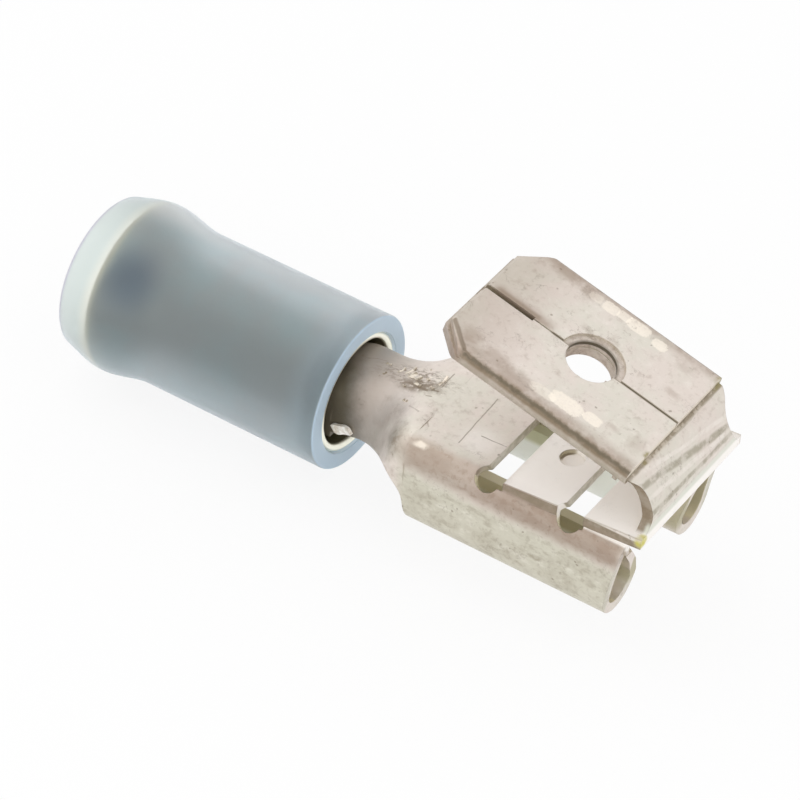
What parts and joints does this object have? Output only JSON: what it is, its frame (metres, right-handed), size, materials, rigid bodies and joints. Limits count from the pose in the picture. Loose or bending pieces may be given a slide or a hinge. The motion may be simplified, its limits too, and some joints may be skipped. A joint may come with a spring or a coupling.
{
  "type": "insulated piggyback spade terminal",
  "caption": "Insulated female spade terminal with a rolled push-on receptacle and a male tab folded back above it, on a crimp barrel in a bell-mouthed nylon sleeve.",
  "frame": {"origin": "on the crimp barrel's axis at the wire end of the sleeve", "axes": "+X along the barrel towards the mating end, +Y across the receptacle, +Z towards the male tab"},
  "size_m": [0.0245, 0.0072, 0.0107],
  "materials": {
    "tinned_brass": "dull tin plate, handled and lightly scratched",
    "tinned_copper": "bright tin plate",
    "blue_nylon": "satin translucent moulding"
  },
  "bodies": {
    "root": {"terminal_body": "tinned_brass", "support_sleeve": "tinned_copper", "insulation_sleeve": "blue_nylon"}
  },
  "joints": []
}
